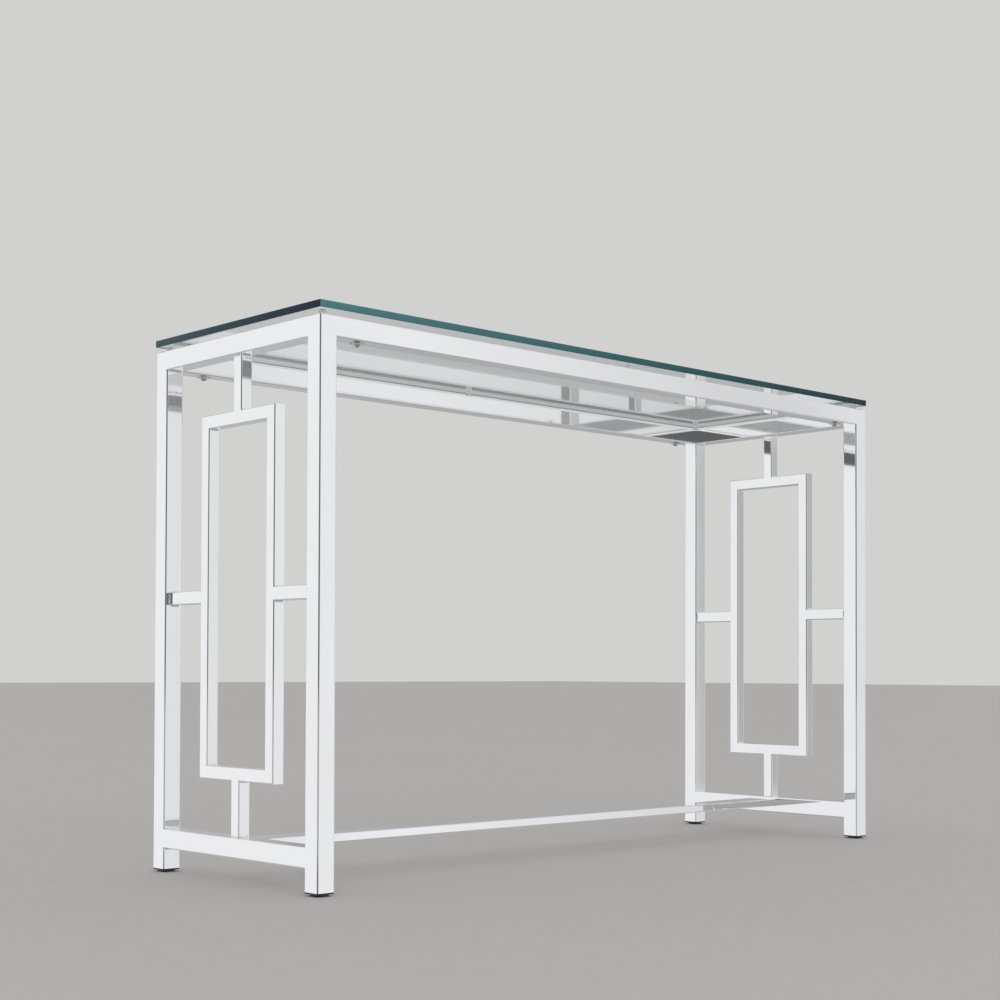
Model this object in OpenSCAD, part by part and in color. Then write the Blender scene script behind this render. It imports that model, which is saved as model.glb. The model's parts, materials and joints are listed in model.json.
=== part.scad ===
// Console table: two welded square-tube end frames with open fretwork, two bolt-on long rails,
// a flat stretcher near the floor and a loose glass top on clear bumpers.
// X runs along the length, Y towards the back, Z up.
// The origin is on the floor, under the middle of the top.

/* [Top] */
// Length of the glass
top_length = 1220; // [1000:10:1500]
// Depth of the glass
top_depth = 400; // [380:5:500]
// Height of the glass's upper face above the floor
table_height = 780; // [740:5:900]
// Thickness of the glass
glass_thickness = 10; // [6:1:12]
// How far the glass reaches past the frame on every side
glass_overhang = 1; // [0:0.5:6]
// Small flat ground on every edge of the glass
glass_arris = 0.8; // [0.4:0.1:1.5]
// Diameter of the clear bumpers under the glass
bumper_diameter = 10; // [8:1:18]
// Gap between the frame and the glass, which the bumpers fill
bumper_height = 7.5; // [3:0.5:10]

/* [Frame tube] */
// Side of the square tube of the legs and rails
frame_side = 28.5; // [28:0.5:32]
// Wall of that tube
frame_wall = 1.5; // [1.2:0.1:2]
// Outer corner radius of that tube
frame_radius = 2.5; // [2.3:0.1:3]
// Thickness of the plate that closes each leg's top
top_plate = 4; // [3:0.5:6]
// Height of the bottom end rails' underside above the floor
bottom_rail_height = 35; // [30:1:80]

/* [Fretwork] */
// Side of the small square tube
fret_side = 19; // [16:0.5:19]
// Wall of the small tube
fret_wall = 1.2; // [1:0.1:1.5]
// Outer corner radius of the small tube
fret_radius = 2; // [1.8:0.1:2.4]
// Width of the upright rectangle in each end
fret_width = 178; // [120:1:200]
// Height of that rectangle
fret_height = 516; // [400:1:560]
// How far the fretwork stands back from the end frame's outer face
fret_setback = 7; // [5:0.5:8]

/* [Stretcher] */
// Width of the flat stretcher tube
stretcher_width = 45; // [40:1:60]
// Height of the flat stretcher tube
stretcher_height = 13; // [12:0.5:16]
// Wall of the stretcher tube
stretcher_wall = 1.5; // [1.2:0.1:2]
// Drop of the stretcher's top below the bottom end rails' top
stretcher_drop = 3; // [2.5:0.5:6]
// Length of the welded tongue inside each end of the stretcher
tongue_length = 42; // [30:1:60]

/* [Rail fixings] */
// Distance of each rail bolt from the leg's inner face
bolt_offset = 44.5; // [35:0.5:50]
// Length of the welded spigot inside each end of a long rail
spigot_length = 60; // [58:1:90]
// Shank diameter of the rail bolts
bolt_diameter = 8; // [6:1:8]
// Washer diameter under the rail bolts
washer_diameter = 20; // [18:1:22]

/* [Levelling feet] */
// Diameter of the glide pads
pad_diameter = 25; // [22:0.5:27]
// Thickness of the glide pads
pad_height = 3; // [3:0.5:5]
// Thickness of the square lip below each leg
cap_lip = 2; // [1.5:0.5:4]
// Diameter of the threaded studs
stud_diameter = 8; // [6:1:8]
// Length of the threaded studs
stud_length = 34; // [30:1:50]

/* [Hidden] */
$fn = 48;

// Colours
chrome_color = [0.90, 0.90, 0.92];
glass_color = [0.72, 0.88, 0.87, 0.45];
clear_color = [0.85, 0.90, 0.90, 0.6];
steel_color = [0.62, 0.63, 0.65];
plastic_color = [0.06, 0.06, 0.07];
brass_color = [0.75, 0.62, 0.32];

// Overshoot of a cutting solid past the face that it opens
cut = 1;
// Clearance between a part and the tube that it slides into
slip = 0.25;
// Radial clearance of a stud or bolt that turns in its hole
running = 0.05;
// Extra diameter of a bolt's hole in a tube wall
loose = 1;

// Frame outline
frame_length = top_length - 2 * glass_overhang;
frame_depth = top_depth - 2 * glass_overhang;
frame_top = table_height - glass_thickness - bumper_height;
leg_bottom = pad_height + cap_lip;
leg_x = (frame_length - frame_side) / 2;
leg_y = (frame_depth - frame_side) / 2;
inner_x = leg_x - frame_side / 2;
inner_y = leg_y - frame_side / 2;
frame_bore = frame_side - 2 * frame_wall;
end_rail_length = 2 * inner_y;
long_rail_length = 2 * inner_x;
top_rail_z = frame_top - frame_side / 2;
bottom_rail_z = bottom_rail_height + frame_side / 2;

// Fretwork outline
fret_x = frame_length / 2 - fret_setback - fret_side / 2;
fret_floor = bottom_rail_height + frame_side;
fret_ceiling = frame_top - frame_side;
fret_z = (fret_floor + fret_ceiling) / 2;
post_length = (fret_ceiling - fret_floor - fret_height) / 2;
link_length = inner_y - fret_width / 2;

// Stretcher
stretcher_z = bottom_rail_height + frame_side - stretcher_drop - stretcher_height / 2;
stretcher_radius = 1.8;
tongue_height = stretcher_height - 2 * stretcher_wall - slip;
tongue_width = stretcher_width - 2 * stretcher_wall - 2 * slip;
tongue_z = stretcher_z - slip / 2;
screw_diameter = 5;
screw_head_diameter = 10;
screw_head_height = 2.4;
screw_socket = 4;
screw_socket_depth = 1.4;
screw_x = inner_x - tongue_length / 2;

// Rail bolts, from the underside up
bolt_x = inner_x - bolt_offset;
washer_height = 1.6;
bolt_head_diameter = 14;
bolt_head_height = 4.4;
bolt_dome = 7.4;
bolt_socket = 5;
bolt_socket_depth = 2.5;
spigot_wall = 3;
spigot_side = frame_bore - 2 * slip;
bolt_end = 6;
bolt_length = frame_wall + slip + spigot_wall + bolt_end;

// Levelling feet
collar_flats = 11;
collar_height = 3;
collar_pocket = 15;
flange_diameter = 12;
flange_height = 1.2;
flange_lift = 0.3;
flange_recess_diameter = 12.6;
flange_recess_height = 1.8;
cap_plug_height = 20;
cap_bore = 9;
nut_flats = 13;
nut_height = 6.5;
nut_lift = 6;
nut_z = leg_bottom + nut_lift;
bumper_radius = 1.5;

// Outline of a tube with round corners, centred on the origin
module tube_outline(width, height, radius) {
    square([width - 2 * radius, height], center = true);
    square([width, height - 2 * radius], center = true);
    for (x = [-1, 1], y = [-1, 1])
        translate([x * (width / 2 - radius), y * (height / 2 - radius)])
            circle(radius);
}

// Section of a tube: its outline less its bore
module tube_section(width, height, radius, wall) {
    difference() {
        tube_outline(width, height, radius);
        tube_outline(width - 2 * wall, height - 2 * wall, radius - wall);
    }
}

module frame_section() {
    tube_section(frame_side, frame_side, frame_radius, frame_wall);
}

module fret_section() {
    tube_section(fret_side, fret_side, fret_radius, fret_wall);
}

// Centred prisms of a 2-D child along each axis
module along_x(length) {
    rotate([90, 0, 90])
        linear_extrude(length, center = true)
            children();
}

module along_y(length) {
    rotate([90, 0, 0])
        linear_extrude(length, center = true)
            children();
}

module along_z(length) {
    linear_extrude(length, center = true)
        children();
}

// Places a child at each leg
module at_each_leg() {
    for (x = [-1, 1], y = [-1, 1])
        translate([x * leg_x, y * leg_y, 0])
            children();
}

// The pane is an extruded outline, ground to a small flat on all its edges
module glass_top() {
    color(glass_color)
        intersection() {
            along_x(top_length)
                glass_profile(top_depth);
            along_y(top_depth)
                glass_profile(top_length);
        }
}

// Cross-section of the pane, with its corners ground off
module glass_profile(width) {
    half = width / 2;
    flat = glass_arris;
    low = table_height - glass_thickness;
    polygon([
        [-half + flat, low], [half - flat, low],
        [half, low + flat], [half, table_height - flat],
        [half - flat, table_height], [-half + flat, table_height],
        [-half, table_height - flat], [-half, low + flat]
    ]);
}

// Round pad with its upper edge rounded over
module bumper() {
    rotate_extrude()
        difference() {
            square([bumper_diameter / 2, bumper_height]);
            translate([bumper_diameter / 2 - bumper_radius, bumper_height - bumper_radius])
                difference() {
                    square(bumper_radius + cut);
                    circle(bumper_radius);
                }
        }
}

// One bumper on each leg and one in the middle of each long rail
module glass_bumpers() {
    color(clear_color)
        translate([0, 0, frame_top]) {
            at_each_leg()
                bumper();
            for (y = [-1, 1])
                translate([0, y * leg_y, 0])
                    bumper();
        }
}

// Legs, named by the end and side that they stand at
module leg(x, y) {
    height = frame_top - top_plate - leg_bottom;
    color(chrome_color)
        translate([x * leg_x, y * leg_y, leg_bottom + height / 2])
            along_z(height)
                frame_section();
}

module leg_front_left() { leg(-1, -1); }
module leg_back_left() { leg(-1, 1); }
module leg_front_right() { leg(1, -1); }
module leg_back_right() { leg(1, 1); }

// What rounds off an edge whose corner is at the origin, for material at negative x and y
module edge_round(length) {
    along_z(length)
        translate([-frame_radius, -frame_radius])
            difference() {
                square(frame_radius + cut);
                circle(frame_radius);
            }
}

// Closes the leg's top; its two outer edges carry the rails' round edges on
module top_plate_solid() {
    reach = frame_side / 2;
    difference() {
        translate([0, 0, -top_plate / 2])
            along_z(top_plate)
                tube_outline(frame_side, frame_side, frame_radius);
        translate([reach, 0, 0])
            rotate([90, 0, 0])
                edge_round(frame_side + cut);
        translate([0, reach, 0])
            rotate([90, 0, 90])
                edge_round(frame_side + cut);
    }
}

module leg_top_plates() {
    color(chrome_color)
        for (x = [0, 1], y = [0, 1])
            mirror([x, 0, 0])
                mirror([0, y, 0])
                    translate([leg_x, leg_y, frame_top])
                        top_plate_solid();
}

// The four legs as solid posts, for shaping the ends of the rails that meet them
module leg_posts() {
    at_each_leg()
        linear_extrude(frame_top)
            tube_outline(frame_side, frame_side, frame_radius);
}

// End rails run along Y between the legs, and their ends wrap the legs' round corners
module end_rail(x, z) {
    color(chrome_color)
        difference() {
            translate([x * leg_x, 0, z])
                along_y(end_rail_length + 2 * frame_radius)
                    frame_section();
            leg_posts();
        }
}

module top_rail_left() { end_rail(-1, top_rail_z); }
module top_rail_right() { end_rail(1, top_rail_z); }
module bottom_rail_left() { end_rail(-1, bottom_rail_z); }
module bottom_rail_right() { end_rail(1, bottom_rail_z); }

// Cuts for the two bolts of one long rail
module bolt_holes(y, z, diameter, depth) {
    for (x = [-1, 1])
        translate([x * bolt_x, y, z])
            cylinder(h = depth, d = diameter, center = true);
}

// Long rails run along X, slide over the spigots and fit round the legs' outer corners
module long_rail(y) {
    color(chrome_color)
        difference() {
            translate([0, y * leg_y, top_rail_z])
                along_x(long_rail_length + 2 * frame_radius)
                    frame_section();
            leg_posts();
            for (x = [-1, 1])
                translate([x * leg_x, 0, top_rail_z])
                    cube([frame_side, end_rail_length + 2 * frame_radius, frame_side + cut], center = true);
            bolt_holes(y * leg_y, top_rail_z - frame_side / 2, bolt_diameter + loose, 2 * frame_wall + cut);
        }
}

module long_rail_front() { long_rail(-1); }
module long_rail_back() { long_rail(1); }

// Short tubes welded to the legs, which the long rails slide over
module rail_spigots() {
    color(steel_color)
        difference() {
            for (x = [-1, 1], y = [-1, 1])
                translate([x * (inner_x - spigot_length / 2), y * leg_y, top_rail_z])
                    along_x(spigot_length)
                        tube_section(spigot_side, spigot_side, spigot_wall + slip, spigot_wall);
            for (y = [-1, 1])
                bolt_holes(y * leg_y, top_rail_z - spigot_side / 2, bolt_diameter + 2 * running,
                           2 * spigot_wall + cut);
        }
}

// Button-head bolt, standing head down with its seat at the origin
module button_bolt() {
    difference() {
        union() {
            cylinder(h = bolt_length, d = bolt_diameter);
            rotate_extrude()
                intersection() {
                    translate([0, -bolt_head_height])
                        square([bolt_head_diameter / 2, bolt_head_height]);
                    translate([0, bolt_head_diameter / 2 - bolt_head_height])
                        circle(bolt_dome);
                }
        }
        translate([0, 0, -bolt_head_height - cut])
            cylinder(h = bolt_socket_depth + cut, d = bolt_socket / cos(30), $fn = 6);
    }
}

// One bolt under each end of each long rail
module rail_bolts() {
    color(chrome_color)
        for (x = [-1, 1], y = [-1, 1])
            translate([x * bolt_x, y * leg_y, frame_top - frame_side - washer_height])
                button_bolt();
}

module rail_washers() {
    color(steel_color)
        for (x = [-1, 1], y = [-1, 1])
            translate([x * bolt_x, y * leg_y, frame_top - frame_side - washer_height])
                difference() {
                    cylinder(h = washer_height, d = washer_diameter);
                    translate([0, 0, -cut])
                        cylinder(h = washer_height + 2 * cut, d = bolt_diameter + 2 * running);
                }
}

// Bar of the fretwork's rectangle, along Z with both ends mitred; its long face is at +X
module mitred_bar(length) {
    half = length / 2;
    side = fret_side / 2;
    intersection() {
        along_z(length)
            fret_section();
        along_y(fret_side)
            polygon([
                [side, -half], [side, half],
                [-side, half - fret_side], [-side, fret_side - half]
            ]);
    }
}

module fret_upright(x, y) {
    color(chrome_color)
        translate([x * fret_x, y * (fret_width - fret_side) / 2, fret_z])
            rotate([0, 0, y * 90])
                mitred_bar(fret_height);
}

module fret_bar(x, z) {
    color(chrome_color)
        translate([x * fret_x, 0, fret_z + z * (fret_height - fret_side) / 2])
            rotate([90, 0, 0])
                rotate([0, 0, z * 90])
                    mitred_bar(fret_width);
}

// The rectangle as a solid ring, for shaping the ends of the posts and links
module fret_ring(x) {
    translate([x * fret_x, 0, fret_z]) {
        for (y = [-1, 1])
            translate([0, y * (fret_width - fret_side) / 2, 0])
                along_z(fret_height)
                    tube_outline(fret_side, fret_side, fret_radius);
        for (z = [-1, 1])
            translate([0, 0, z * (fret_height - fret_side) / 2])
                along_y(fret_width)
                    tube_outline(fret_side, fret_side, fret_radius);
    }
}

// Upright post between the rectangle and an end rail
module fret_post(x, z) {
    length = post_length + fret_radius;
    color(chrome_color)
        difference() {
            translate([x * fret_x, 0, fret_z + z * (fret_height / 2 - fret_radius + length / 2)])
                along_z(length)
                    fret_section();
            fret_ring(x);
        }
}

// Level link between the rectangle and a leg
module fret_link(x, y) {
    length = link_length + fret_radius;
    color(chrome_color)
        difference() {
            translate([x * fret_x, y * (fret_width / 2 - fret_radius + length / 2), fret_z])
                along_y(length)
                    fret_section();
            fret_ring(x);
        }
}

module fret_front_upright_left() { fret_upright(-1, -1); }
module fret_back_upright_left() { fret_upright(-1, 1); }
module fret_top_bar_left() { fret_bar(-1, 1); }
module fret_bottom_bar_left() { fret_bar(-1, -1); }
module fret_top_post_left() { fret_post(-1, 1); }
module fret_bottom_post_left() { fret_post(-1, -1); }
module fret_front_link_left() { fret_link(-1, -1); }
module fret_back_link_left() { fret_link(-1, 1); }
module fret_front_upright_right() { fret_upright(1, -1); }
module fret_back_upright_right() { fret_upright(1, 1); }
module fret_top_bar_right() { fret_bar(1, 1); }
module fret_bottom_bar_right() { fret_bar(1, -1); }
module fret_top_post_right() { fret_post(1, 1); }
module fret_bottom_post_right() { fret_post(1, -1); }
module fret_front_link_right() { fret_link(1, -1); }
module fret_back_link_right() { fret_link(1, 1); }

// Flat tube near the floor, between the bottom end rails
module stretcher() {
    color(chrome_color)
        difference() {
            translate([0, 0, stretcher_z])
                along_x(long_rail_length)
                    tube_section(stretcher_width, stretcher_height, stretcher_radius, stretcher_wall);
            for (x = [-1, 1])
                translate([x * screw_x, 0, stretcher_z - stretcher_height / 2])
                    cylinder(h = 2 * stretcher_wall + cut, d = screw_diameter + loose, center = true);
        }
}

// Flat bars welded to the bottom end rails, which the stretcher slides over
module stretcher_tongues() {
    color(steel_color)
        for (x = [-1, 1])
            difference() {
                translate([x * (inner_x - tongue_length / 2), 0, tongue_z])
                    cube([tongue_length, tongue_width, tongue_height], center = true);
                translate([x * screw_x, 0, stretcher_z])
                    cylinder(h = stretcher_height, d = screw_diameter + 2 * running, center = true);
            }
}

// Screws up through the stretcher into the tongues
module stretcher_screws() {
    low = stretcher_z - stretcher_height / 2;
    color(chrome_color)
        for (x = [-1, 1])
            translate([x * screw_x, 0, low])
                difference() {
                    union() {
                        translate([0, 0, -screw_head_height])
                            cylinder(h = screw_head_height, d = screw_head_diameter);
                        cylinder(h = stretcher_wall + tongue_height - cut, d = screw_diameter);
                    }
                    translate([0, 0, -screw_head_height - cut])
                        cylinder(h = cut + screw_socket_depth, d = screw_socket / cos(30), $fn = 6);
                }
}

// Levelling feet, drawn at the origin with the pad on the floor

// Square plug with a lip, a pocket below for the stud's collar and a seat for the nut
module foot_cap() {
    plug = frame_bore - slip;
    difference() {
        union() {
            translate([0, 0, pad_height])
                linear_extrude(cap_lip)
                    tube_outline(frame_side, frame_side, frame_radius);
            translate([0, 0, leg_bottom])
                linear_extrude(cap_plug_height)
                    tube_outline(plug, plug, frame_radius - frame_wall);
        }
        translate([0, 0, pad_height - cut])
            cylinder(h = collar_height + 2 * cut, d = collar_pocket);
        translate([0, 0, pad_height])
            cylinder(h = cap_lip + cap_plug_height + cut, d = cap_bore);
        translate([0, 0, nut_z])
            cylinder(h = cap_plug_height, d = nut_flats / cos(30), $fn = 6);
    }
}

module foot_caps() {
    color(plastic_color)
        at_each_leg()
            foot_cap();
}

module foot_nuts() {
    color(brass_color)
        at_each_leg()
            translate([0, 0, nut_z])
                difference() {
                    cylinder(h = nut_height, d = nut_flats / cos(30), $fn = 6);
                    translate([0, 0, -cut])
                        cylinder(h = nut_height + 2 * cut, d = stud_diameter + 2 * running);
                }
}

// Pad that stays still on the floor while the stud turns in it
module glide_pad(x, y) {
    color(plastic_color)
        translate([x * leg_x, y * leg_y, 0])
            difference() {
                cylinder(h = pad_height, d = pad_diameter);
                translate([0, 0, -cut])
                    cylinder(h = pad_height + 2 * cut, d = stud_diameter + 2 * running);
                translate([0, 0, -cut])
                    cylinder(h = flange_recess_height + cut, d = flange_recess_diameter);
            }
}

// Stud with a riveted flange in the pad's recess and a hexagonal collar above the pad
module glide_stud(x, y) {
    color(steel_color)
        translate([x * leg_x, y * leg_y, flange_lift]) {
            cylinder(h = stud_length, d = stud_diameter);
            cylinder(h = flange_height, d = flange_diameter);
            translate([0, 0, pad_height])
                cylinder(h = collar_height, d = collar_flats / cos(30), $fn = 6);
        }
}

module glide_pad_front_left() { glide_pad(-1, -1); }
module glide_pad_back_left() { glide_pad(-1, 1); }
module glide_pad_front_right() { glide_pad(1, -1); }
module glide_pad_back_right() { glide_pad(1, 1); }
module glide_stud_front_left() { glide_stud(-1, -1); }
module glide_stud_back_left() { glide_stud(-1, 1); }
module glide_stud_front_right() { glide_stud(1, -1); }
module glide_stud_back_right() { glide_stud(1, 1); }

glass_top();
glass_bumpers();
leg_front_left();
leg_back_left();
leg_front_right();
leg_back_right();
leg_top_plates();
top_rail_left();
top_rail_right();
bottom_rail_left();
bottom_rail_right();
fret_front_upright_left();
fret_back_upright_left();
fret_top_bar_left();
fret_bottom_bar_left();
fret_top_post_left();
fret_bottom_post_left();
fret_front_link_left();
fret_back_link_left();
fret_front_upright_right();
fret_back_upright_right();
fret_top_bar_right();
fret_bottom_bar_right();
fret_top_post_right();
fret_bottom_post_right();
fret_front_link_right();
fret_back_link_right();
long_rail_front();
long_rail_back();
rail_spigots();
rail_bolts();
rail_washers();
stretcher();
stretcher_tongues();
stretcher_screws();
foot_caps();
foot_nuts();
glide_pad_front_left();
glide_pad_back_left();
glide_pad_front_right();
glide_pad_back_right();
glide_stud_front_left();
glide_stud_back_left();
glide_stud_front_right();
glide_stud_back_right();
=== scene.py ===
"""Looks of the console table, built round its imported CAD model.

Lengths are metres. The row frame has +X along the table, +Y towards its back and +Z up.
"""

import json
import math

import bmesh
import bpy
from mathutils import Matrix, Vector


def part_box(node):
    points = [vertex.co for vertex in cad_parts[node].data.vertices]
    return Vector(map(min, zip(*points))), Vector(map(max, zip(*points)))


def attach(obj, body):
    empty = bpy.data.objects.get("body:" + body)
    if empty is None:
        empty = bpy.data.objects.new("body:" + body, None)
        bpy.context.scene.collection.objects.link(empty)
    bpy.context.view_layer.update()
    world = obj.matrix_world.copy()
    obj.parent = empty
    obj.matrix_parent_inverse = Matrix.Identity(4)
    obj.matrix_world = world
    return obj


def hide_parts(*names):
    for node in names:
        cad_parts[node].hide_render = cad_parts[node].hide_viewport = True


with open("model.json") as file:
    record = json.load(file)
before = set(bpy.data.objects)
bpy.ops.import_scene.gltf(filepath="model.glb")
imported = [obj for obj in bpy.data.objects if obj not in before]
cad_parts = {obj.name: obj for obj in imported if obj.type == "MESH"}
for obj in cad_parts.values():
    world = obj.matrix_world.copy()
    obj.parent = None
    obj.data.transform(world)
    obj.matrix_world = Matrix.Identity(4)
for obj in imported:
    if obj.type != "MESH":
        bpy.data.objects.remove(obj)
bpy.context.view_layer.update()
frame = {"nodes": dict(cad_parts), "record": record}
nodes = frame["nodes"]

MM = 0.001
SIDES = ((1, 0, 0), (-1, 0, 0), (0, 1, 0), (0, -1, 0), (0, 0, 1), (0, 0, -1))
# Ground welds in the inner corners of the end frames; each keeps off the tubes' round corners,
# and fades out along the last part of its half length
WELD_RADIUS = 2.2 * MM
WELD_STEPS = 6
CORNER_FLAT = 2.2 * MM
WELD_FADE = (0.7, 0.85, 0.94, 1.0)
WELD_TIP = 0.03
# Glass pane
TOP_HALF = (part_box("glass_top")[1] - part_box("glass_top")[0]) / 2
ARRIS = 0.9 * MM
AIR_FILM = 0.1 * MM

# Camera: where it stands from the front left foot, and how it looks
CAMERA_BACK = Vector((-1.348, -1.780, 0.2965))
CAMERA_YAW = 42.62
CAMERA_PITCH = 1.23
CAMERA_ROLL = 0.19
CAMERA_LENS = 61.56
CAMERA_SHIFT = (0.0173, 0.133)
SENSOR_WIDTH = 36

# Studio: what the eye sees behind the table, and what the polished metal sees around it
BACKDROP = (0.64, 0.64, 0.632)
FLOOR_PAINT = (0.43, 0.415, 0.40)
FLOOR_DRIFT = 1.03
FLOOR_SIZE = 30.0
SOFT_DAYLIGHT = 1.0
# Tone by bearing, in degrees clockwise from the camera's heading: dark room behind, white panels
# at both sides with soft gaps between them, and grey paper ahead
ROOM_TONES = (
    (-148, 0.14), (-128, 0.80), (-97, 0.87), (-75, 0.90), (-60, 0.86), (-44, 0.50), (-30, 0.84),
    (-20, 0.48), (-7, 0.48), (-3, 0.42), (15, 0.40), (24, 0.86), (34, 0.84), (50, 0.48),
    (64, 0.84), (82.6, 0.79), (84, 0.71), (86, 0.70), (89, 0.75), (92, 0.80), (97, 0.88),
    (100, 0.86), (104, 0.79), (126, 0.77), (148, 0.14),
)
PANEL_TINT = (1.0, 1.004, 1.022)
# Patches over that ring: tone, the bearings and the rises that a patch spans, and how far it
# fades out beyond both ends of each; rise is the upward part of a unit direction
DARK_OVER_PAPER = (0.012, (-15, 15), (5, 5), (0.117, 0.185), (0.022, 0.03))
LOW_SIDE_GAP = (0.47, (83.6, 86.8), (0.8, 2), (-0.06, 0.12), (0.02, 0.03))
# The pale card behind the camera spans bearings on both sides, so those are absolute
LOW_BACK_CARD = (0.42, (148, 180), (20, 1), (-0.10, -0.03), (0.02, 0.03))
# Below, the metal sees the floor, darkest underneath the table: tone, and rises from none to full
FLOOR_TONE = 0.50
FLOOR_RISES = (-0.16, -0.45)
NADIR_TONE = 0.26
NADIR_RISES = (-0.50, -0.95)
# Key light
KEY_PLACE = (-1.5, -2.5, 3.2)
KEY_TARGET = (0, 0, 0.4)
KEY_SIZE = (2.5, 2.5)
KEY_POWER = 8

# Materials: where noise mostly runs, how fine the patterns on metal are, and the glass
NOISE_RANGE = (0.3, 0.7)
MARK_SCALE = 900.0
CLOUD_SCALE = 9.0
WAVE_SCALE = 22.0
CHROME_WAVE = 0.02 * MM
CAP_GRAIN = 0.04 * MM
PAD_GRAIN = 0.06 * MM
SILICONE_IOR = 1.41
GLASS_IOR = 1.52
EDGE_STREAKS = 0.12
EDGE_GLOSS = 0.05


# ---------------------------------------------------------------- nodes

class Wiring:
    """Short calls for wiring a node tree."""

    def __init__(self, tree):
        self.tree = tree

    def node(self, kind, **settings):
        made = self.tree.nodes.new(kind)
        for key, value in settings.items():
            if key in made.inputs:
                made.inputs[key].default_value = value
            else:
                setattr(made, key, value)
        return made

    def join(self, out, into):
        self.tree.links.new(out, into)

    def put(self, value, socket):
        """Joins value to the socket if it is another node's output, or else sets it."""
        if isinstance(value, bpy.types.NodeSocket):
            self.join(value, socket)
        else:
            socket.default_value = value

    def math(self, operation, *values):
        made = self.node("ShaderNodeMath", operation=operation)
        for socket, value in zip(made.inputs, values):
            self.put(value, socket)
        return made.outputs["Value"]

    def dot(self, direction, along):
        made = self.node("ShaderNodeVectorMath", operation="DOT_PRODUCT")
        self.join(direction, made.inputs[0])
        made.inputs[1].default_value = along
        return made.outputs["Value"]

    def tint(self, factor, first, second):
        """Colour between first and second."""
        made = self.node("ShaderNodeMix", data_type="RGBA")
        self.join(factor, made.inputs["Factor"])
        self.put(first, made.inputs["A"])
        self.put(second, made.inputs["B"])
        return made.outputs["Result"]


class Tree(Wiring):
    """A material's node tree, with short calls for its surface."""

    def __init__(self, name):
        self.material = bpy.data.materials.new(name)
        self.material.use_nodes = True
        super().__init__(self.material.node_tree)
        self.shader = self.tree.nodes["Principled BSDF"]

    def place(self):
        return self.node("ShaderNodeTexCoord").outputs["Object"]

    def noise(self, scale, detail=3.0, stretch=None):
        """Noise over the piece's own coordinates, longer along an axis where stretch is small."""
        where = self.place()
        if stretch:
            mapping = self.node("ShaderNodeMapping")
            mapping.inputs["Scale"].default_value = stretch
            self.join(where, mapping.inputs["Vector"])
            where = mapping.outputs["Vector"]
        made = self.node("ShaderNodeTexNoise", Scale=scale, Detail=detail)
        self.join(where, made.inputs["Vector"])
        return made.outputs["Fac"]

    def span(self, value, low, high):
        """A noise value spread from low to high."""
        made = self.node("ShaderNodeMapRange")
        made.inputs["From Min"].default_value = NOISE_RANGE[0]
        made.inputs["From Max"].default_value = NOISE_RANGE[1]
        made.inputs["To Min"].default_value = low
        made.inputs["To Max"].default_value = high
        self.join(value, made.inputs["Value"])
        return made.outputs["Result"]

    def blend(self, factor, first, second):
        return self.tint(factor, (*first, 1), (*second, 1))

    def paint(self, colour, rough):
        """Joins a colour and a roughness to the shader."""
        self.join(colour, self.shader.inputs["Base Color"])
        self.join(rough, self.shader.inputs["Roughness"])

    def bump(self, height, strength, distance):
        made = self.node("ShaderNodeBump", Strength=strength, Distance=distance)
        self.join(height, made.inputs["Height"])
        self.join(made.outputs["Normal"], self.shader.inputs["Normal"])

    def set(self, **sockets):
        for key, value in sockets.items():
            self.shader.inputs[key.replace("_", " ")].default_value = value


class Studio(Wiring):
    """The world's nodes: what the polished metal sees around it."""

    def step(self, value, low, high):
        """0 at low, 1 at high, smooth between; low may be the higher number."""
        made = self.node("ShaderNodeMapRange", interpolation_type="SMOOTHSTEP")
        made.inputs["From Min"].default_value = low
        made.inputs["From Max"].default_value = high
        self.join(value, made.inputs["Value"])
        return made.outputs["Result"]

    def within(self, value, span, fade):
        """1 over the span, fading out beyond both of its ends."""
        low, high = span
        entering = self.step(value, low - fade[0], low)
        return self.math("MULTIPLY", entering, self.step(value, high + fade[1], high))

    def toned(self, factor, tone, grey):
        return self.tint(factor, tone, (grey, grey, grey, 1))

    def patched(self, tone, patch, bearing, rise):
        grey, bearings, side_fade, rises, rise_fade = patch
        across = self.within(bearing, bearings, side_fade)
        upward = self.within(rise, rises, rise_fade)
        return self.toned(self.math("MULTIPLY", across, upward), tone, grey)

    def tone_ring(self, bearing, stops):
        """Tone by bearing, in degrees from -180 to 180, blended between the stops."""
        made = self.node("ShaderNodeValToRGB")
        self.join(self.math("MULTIPLY_ADD", bearing, 1 / 360, 0.5), made.inputs["Fac"])
        band = made.color_ramp
        band.elements.remove(band.elements[1])
        for number, (degrees, tone) in enumerate(stops):
            spot = 0.5 + degrees / 360
            stop = band.elements[0] if number == 0 else band.elements.new(spot)
            stop.position = spot
            stop.color = (*[tone * tint for tint in PANEL_TINT], 1)
        return made.outputs["Color"]

    def room(self, direction):
        """Tone of the studio in a direction."""
        yaw = math.radians(CAMERA_YAW)
        ahead = self.dot(direction, (math.sin(yaw), math.cos(yaw), 0))
        aside = self.dot(direction, (math.cos(yaw), -math.sin(yaw), 0))
        rise = self.dot(direction, (0, 0, 1))
        bearing = self.math("DEGREES", self.math("ARCTAN2", aside, ahead))
        tone = self.tone_ring(bearing, ROOM_TONES)
        tone = self.patched(tone, DARK_OVER_PAPER, bearing, rise)
        tone = self.patched(tone, LOW_SIDE_GAP, bearing, rise)
        tone = self.patched(tone, LOW_BACK_CARD, self.math("ABSOLUTE", bearing), rise)
        tone = self.toned(self.step(rise, *FLOOR_RISES), tone, FLOOR_TONE)
        return self.toned(self.step(rise, *NADIR_RISES), tone, NADIR_TONE)


# ---------------------------------------------------------------- materials

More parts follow.
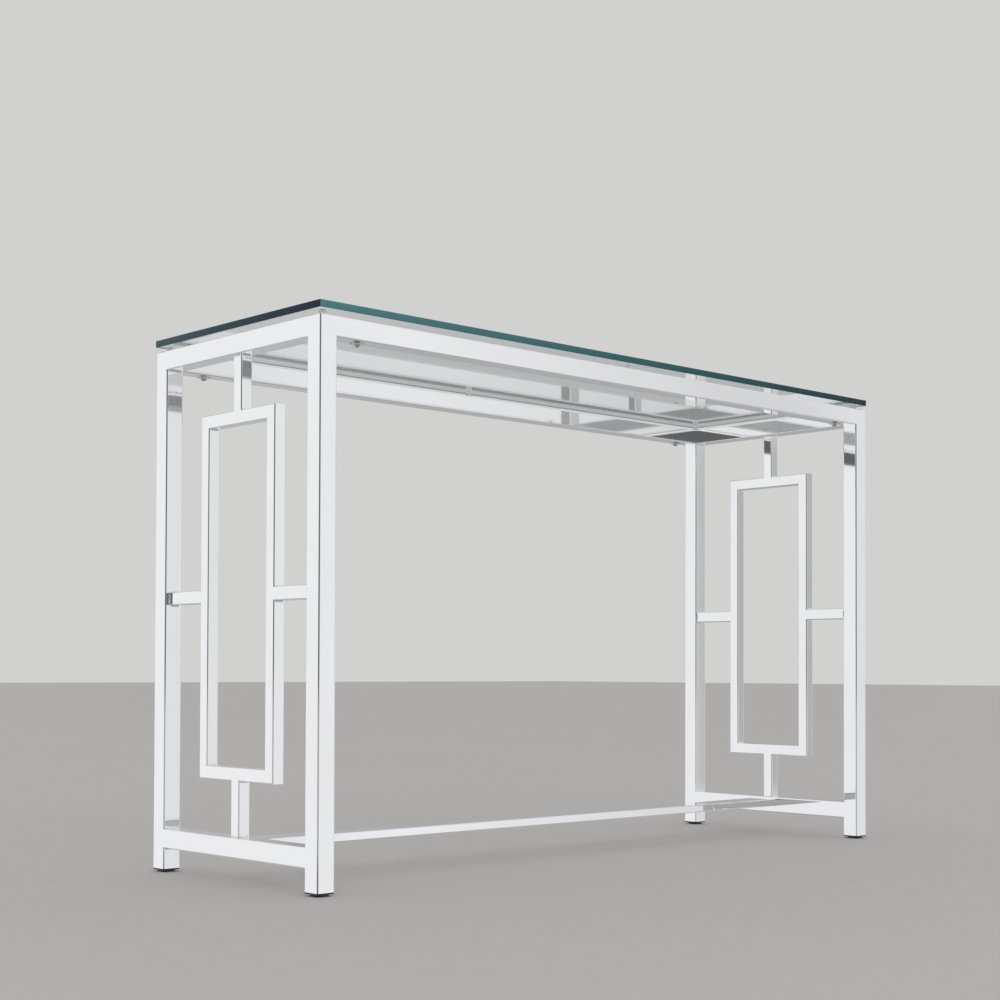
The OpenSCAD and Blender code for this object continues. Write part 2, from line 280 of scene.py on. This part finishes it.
def metal(name, dark, light, rough, wave=0.0, grain=(1, 1, 1)):
    """Metal with slightly uneven polish, faint wiping marks and a long shallow wave."""
    t = Tree(name)
    marks = t.noise(MARK_SCALE, 4.0, grain)
    cloud = t.noise(CLOUD_SCALE, 2.0)
    t.paint(t.blend(cloud, dark, light), t.span(marks, *rough))
    t.set(Metallic=1.0)
    if wave:
        t.bump(t.noise(WAVE_SCALE, 1.0), 1.0, wave)
    return t.material


def moulded(name, dark, light, rough, grain, scale):
    """Moulded plastic with a fine spark-eroded grain."""
    t = Tree(name)
    t.paint(t.blend(t.noise(60.0), dark, light), t.span(t.noise(400.0), *rough))
    t.bump(t.noise(scale, 4.0), 0.5, grain)
    return t.material


def clear_silicone():
    t = Tree("clear_silicone")
    colour = t.blend(t.noise(300.0), (0.94, 0.96, 0.96), (0.97, 0.985, 0.98))
    t.paint(colour, t.span(t.noise(900.0), 0.12, 0.28))
    t.set(Transmission_Weight=0.4, IOR=SILICONE_IOR)
    return t.material


def pane_glass():
    t = Tree("float_glass")
    colour = t.blend(t.noise(6.0, 2.0), (0.95, 0.985, 0.98), (0.97, 0.995, 0.99))
    t.paint(colour, t.span(t.noise(500.0, 4.0), 0.0, 0.01))
    t.set(Transmission_Weight=1.0, IOR=GLASS_IOR)
    return t.material


def pane_edge(name, axis, near, far):
    """Polished edge of the pane, deep in colour because light runs far inside; it is opaque, and
    that light is painted into its colour, which runs from the near to the far colour along the
    edge, with faint streaks.
    """
    t = Tree(name)
    along = t.node("ShaderNodeSeparateXYZ")
    t.join(t.place(), along.inputs["Vector"])
    # Painted light: the edge's colour runs from near to far along it, lighter towards one end and
    # darker towards the other, standing in for light inside the glass.
    painted_light_ramp = t.node("ShaderNodeMapRange")
    painted_light_ramp.inputs["From Min"].default_value = -TOP_HALF[axis]
    painted_light_ramp.inputs["From Max"].default_value = TOP_HALF[axis]
    t.join(along.outputs[axis], painted_light_ramp.inputs["Value"])
    streak = t.node("ShaderNodeMix", data_type="FLOAT")
    streak.inputs["Factor"].default_value = EDGE_STREAKS
    t.join(painted_light_ramp.outputs["Result"], streak.inputs["A"])
    t.join(t.noise(14.0, 3.0), streak.inputs["B"])
    colour = t.blend(streak.outputs["Result"], near, far)
    t.paint(colour, t.span(t.noise(700.0, 4.0), 0.05, 0.14))
    t.set(IOR=GLASS_IOR, Specular_IOR_Level=EDGE_GLOSS)
    return t.material


# Darker and lighter colour, and the range of roughness, of each
chrome = metal(
    "polished_chrome", (0.91, 0.91, 0.92), (0.95, 0.95, 0.955), (0.015, 0.05), wave=CHROME_WAVE
)
plated = metal("bright_plate", (0.70, 0.71, 0.73), (0.82, 0.83, 0.85), (0.08, 0.18))
zinc = metal("zinc_plate", (0.52, 0.53, 0.56), (0.66, 0.67, 0.68), (0.25, 0.42))
steel = metal(
    "bare_steel", (0.34, 0.34, 0.35), (0.46, 0.45, 0.44), (0.3, 0.5), grain=(0.05, 1, 1)
)
brass = metal(
    "turned_brass", (0.62, 0.47, 0.20), (0.78, 0.62, 0.32), (0.18, 0.34), grain=(1, 1, 0.1)
)
cap_black = moulded(
    "cap_nylon", (0.012, 0.012, 0.013), (0.03, 0.03, 0.032), (0.38, 0.55), CAP_GRAIN, 2600.0
)
pad_black = moulded(
    "pad_nylon", (0.008, 0.008, 0.009), (0.02, 0.02, 0.021), (0.45, 0.62), PAD_GRAIN, 1800.0
)
silicone = clear_silicone()
glass_face = pane_glass()
# Glass edges: the glass's own blue-green with painted light from inside the pane, each running from
# its near colour to its far colour along the edge.
long_edge = pane_edge("glass_long_edge_painted_light", 0, (0.09, 0.25, 0.27), (0.001, 0.028, 0.032))
end_edge = pane_edge("glass_end_edge_painted_light", 1, (0.026, 0.034, 0.06), (0.05, 0.105, 0.125))

SLOT_MATERIAL = {
    "top_glass": glass_face,
    "bumper_clear": silicone,
    "frame_chrome": chrome,
    "fixing_chrome": plated,
    "washer_zinc": zinc,
    "inner_steel": steel,
    "cap_plastic": cap_black,
    "nut_brass": brass,
    "pad_plastic": pad_black,
    "stud_steel": zinc,
}


def dress_cad_nodes():
    """Gives every CAD node the material of its record slot."""
    for entry in frame["record"]["subparts"]:
        mesh = nodes[entry["node"]].data
        mesh.materials.clear()
        mesh.materials.append(SLOT_MATERIAL[entry["material_slot"]])


# ---------------------------------------------------------------- pieces

def new_piece(name, bm, *materials):
    mesh = bpy.data.meshes.new(name)
    bm.to_mesh(mesh)
    bm.free()
    piece = bpy.data.objects.new(name, mesh)
    bpy.context.scene.collection.objects.link(piece)
    for material in materials:
        mesh.materials.append(material)
    return piece


def glass_pane():
    """The pane, with polished arrises and opaque edges of a deeper colour than its faces, which
    carry painted light.

    A film of air keeps it off the bumpers, so that they show through it as they are.
    """
    low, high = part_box("glass_top")
    low = low + Vector((0, 0, AIR_FILM))
    bm = bmesh.new()
    bmesh.ops.create_cube(bm, size=1.0)
    size = high - low
    middle = (low + high) / 2
    bmesh.ops.scale(bm, vec=size, verts=bm.verts)
    bmesh.ops.translate(bm, vec=middle, verts=bm.verts)
    bmesh.ops.bevel(bm, geom=bm.edges[:], offset=ARRIS, segments=3, profile=0.5, affect="EDGES")
    for face in bm.faces:
        flat = abs(face.normal.z) > 0.99
        face.material_index = 0 if flat else 1 if abs(face.normal.y) > abs(face.normal.x) else 2
        face.smooth = not flat
    pane = new_piece("glass_pane", bm, glass_face, long_edge, end_edge)
    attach(pane, "table")
    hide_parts("glass_top")


def weld_section(spot, out_a, out_b, radius):
    """Points of a concave corner fillet: the corner, then an arc from one face to the other."""
    points = [spot]
    for step in range(WELD_STEPS + 1):
        angle = math.pi / 2 * step / WELD_STEPS
        reach = (1 - math.sin(angle)) * out_a + (1 - math.cos(angle)) * out_b
        points.append(spot + radius * reach)
    return points


def weld(bm, middle, out_a, out_b, length):
    """Ground weld in the corner of two faces, which fades out at both ends."""
    out_a, out_b = Vector(out_a), Vector(out_b)
    line = out_a.cross(out_b)
    rings = []
    for place in [-part for part in reversed(WELD_FADE)] + list(WELD_FADE):
        along_fade = max(0.0, (abs(place) - WELD_FADE[0]) / (1 - WELD_FADE[0]))
        fade = math.sqrt(max(0.0, 1 - along_fade ** 2))
        spot = Vector(middle) + line * (place * length / 2)
        section = weld_section(spot, out_a, out_b, WELD_RADIUS * max(fade, WELD_TIP))
        rings.append([bm.verts.new(point) for point in section])
    for first, second in zip(rings, rings[1:]):
        for number in range(len(first)):
            after = (number + 1) % len(first)
            face = bm.faces.new((first[number], first[after], second[after], second[number]))
            face.smooth = 0 < number < len(first) - 1
    bm.faces.new(reversed(rings[0]))
    bm.faces.new(rings[-1])


def post_welds(bm, foot, axis, side, width):
    """Welds all round a square tube that stands on a wider face at foot and runs along axis."""
    for out in SIDES:
        if abs(Vector(out).dot(axis)) < 0.5:
            weld(bm, foot + Vector(out) * (side / 2), axis, out, width)


def corner_welds(bm, x, y, z, out_y, out_z, width):
    """Weld in the corner between an upright face and a level face, along X."""
    weld(bm, Vector((x, y, z)), (0, out_y, 0), (0, 0, out_z), width)


def end_welds(side):
    """Ground welds of one end frame."""
    bm = bmesh.new()
    rail_low, rail_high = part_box("top_rail_" + side)
    base_low, base_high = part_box("bottom_rail_" + side)
    bar_low, bar_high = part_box("fret_top_bar_" + side)
    sill_low, sill_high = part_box("fret_bottom_bar_" + side)
    frame_side = rail_high.z - rail_low.z
    fret_side = bar_high.z - bar_low.z
    frame_width = frame_side - 2 * CORNER_FLAT
    fret_width = fret_side - 2 * CORNER_FLAT
    frame_x = (rail_low.x + rail_high.x) / 2
    fret_x = (bar_low.x + bar_high.x) / 2
    leg_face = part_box("leg_back_" + side)[0].y
    middle_z = (bar_high.z + sill_low.z) / 2
    for y in (-1, 1):
        corner_welds(bm, frame_x, y * leg_face, rail_low.z, -y, -1, frame_width)
        corner_welds(bm, frame_x, y * leg_face, base_high.z, -y, 1, frame_width)
        corner_welds(bm, frame_x, y * leg_face, base_low.z, -y, -1, frame_width)
        inner = y * (bar_high.y - fret_side)
        corner_welds(bm, fret_x, inner, bar_low.z, -y, -1, fret_width)
        corner_welds(bm, fret_x, inner, sill_high.z, -y, 1, fret_width)
        corner_welds(bm, fret_x, y * fret_side / 2, bar_high.z, y, 1, fret_width)
        corner_welds(bm, fret_x, y * fret_side / 2, sill_low.z, y, -1, fret_width)
        for z in (-1, 1):
            corner_welds(bm, fret_x, y * bar_high.y, middle_z + z * fret_side / 2, y, z, fret_width)
        link_foot = Vector((fret_x, y * leg_face, middle_z))
        post_welds(bm, link_foot, Vector((0, -y, 0)), fret_side, fret_width)
    post_welds(bm, Vector((fret_x, 0, rail_low.z)), Vector((0, 0, -1)), fret_side, fret_width)
    post_welds(bm, Vector((fret_x, 0, base_high.z)), Vector((0, 0, 1)), fret_side, fret_width)
    bmesh.ops.recalc_face_normals(bm, faces=bm.faces[:])
    piece = new_piece("end_welds_" + side, bm, chrome)
    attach(piece, "table")


# ---------------------------------------------------------------- studio

def floor():
    """Pale painted floor. Reflected rays pass through it, so that metal mirrors the studio."""
    bm = bmesh.new()
    bmesh.ops.create_grid(bm, x_segments=1, y_segments=1, size=FLOOR_SIZE)
    sheet = new_piece("floor", bm)
    t = Tree("floor_paint")
    paler = [part * FLOOR_DRIFT for part in FLOOR_PAINT]
    t.paint(t.blend(t.noise(1.5, 2.0), FLOOR_PAINT, paler), t.span(t.noise(40.0), 0.6, 0.75))
    rays = t.node("ShaderNodeLightPath")
    mix = t.node("ShaderNodeMixShader")
    t.join(t.math("MINIMUM", rays.outputs["Glossy Depth"], 1.0), mix.inputs["Fac"])
    t.join(t.shader.outputs["BSDF"], mix.inputs[1])
    t.join(t.node("ShaderNodeBsdfTransparent").outputs["BSDF"], mix.inputs[2])
    t.join(mix.outputs["Shader"], t.tree.nodes["Material Output"].inputs["Surface"])
    sheet.data.materials.append(t.material)


def sky():
    """Pale backdrop for the eye, even daylight for matt surfaces, the studio's tones for metal."""
    world = bpy.data.worlds.new("studio")
    bpy.context.scene.world = world
    world.use_nodes = True
    world.node_tree.nodes.clear()
    w = Studio(world.node_tree)
    direction = w.node("ShaderNodeTexCoord").outputs["Generated"]
    rays = w.node("ShaderNodeLightPath")
    daylight = (SOFT_DAYLIGHT, SOFT_DAYLIGHT, SOFT_DAYLIGHT, 1)
    matt = w.math("MINIMUM", rays.outputs["Diffuse Depth"], 1.0)
    tone = w.tint(matt, w.room(direction), daylight)
    bounces = w.math("ADD", rays.outputs["Glossy Depth"], rays.outputs["Diffuse Depth"])
    tone = w.tint(w.math("MINIMUM", bounces, 1.0), (*BACKDROP, 1), tone)
    light = w.node("ShaderNodeBackground")
    w.join(tone, light.inputs["Color"])
    out = w.node("ShaderNodeOutputWorld")
    w.join(light.outputs["Background"], out.inputs["Surface"])


def key_light():
    data = bpy.data.lights.new("key", "AREA")
    data.shape = "RECTANGLE"
    data.size, data.size_y = KEY_SIZE
    data.energy = KEY_POWER
    lamp = bpy.data.objects.new("key", data)
    bpy.context.scene.collection.objects.link(lamp)
    lamp.location = KEY_PLACE
    aim = Vector(KEY_TARGET) - Vector(KEY_PLACE)
    lamp.rotation_euler = aim.to_track_quat("-Z", "Y").to_euler()


def camera():
    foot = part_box("leg_front_left")[0]
    data = bpy.data.cameras.new("camera")
    data.lens = CAMERA_LENS
    data.sensor_width = SENSOR_WIDTH
    data.shift_x, data.shift_y = CAMERA_SHIFT
    eye = bpy.data.objects.new("camera", data)
    bpy.context.scene.collection.objects.link(eye)
    yaw, pitch = math.radians(CAMERA_YAW), math.radians(CAMERA_PITCH)
    turn = Matrix.Rotation(-yaw, 4, "Z") @ Matrix.Rotation(math.pi / 2 + pitch, 4, "X")
    turn = turn @ Matrix.Rotation(math.radians(CAMERA_ROLL), 4, "Z")
    corner = Vector((foot.x, foot.y, 0))
    eye.matrix_world = Matrix.Translation(corner + CAMERA_BACK) @ turn
    bpy.context.scene.camera = eye


bpy.context.scene.view_settings.view_transform = "Standard"
dress_cad_nodes()
glass_pane()
end_welds("left")
end_welds("right")
floor()
sky()
key_light()
camera()
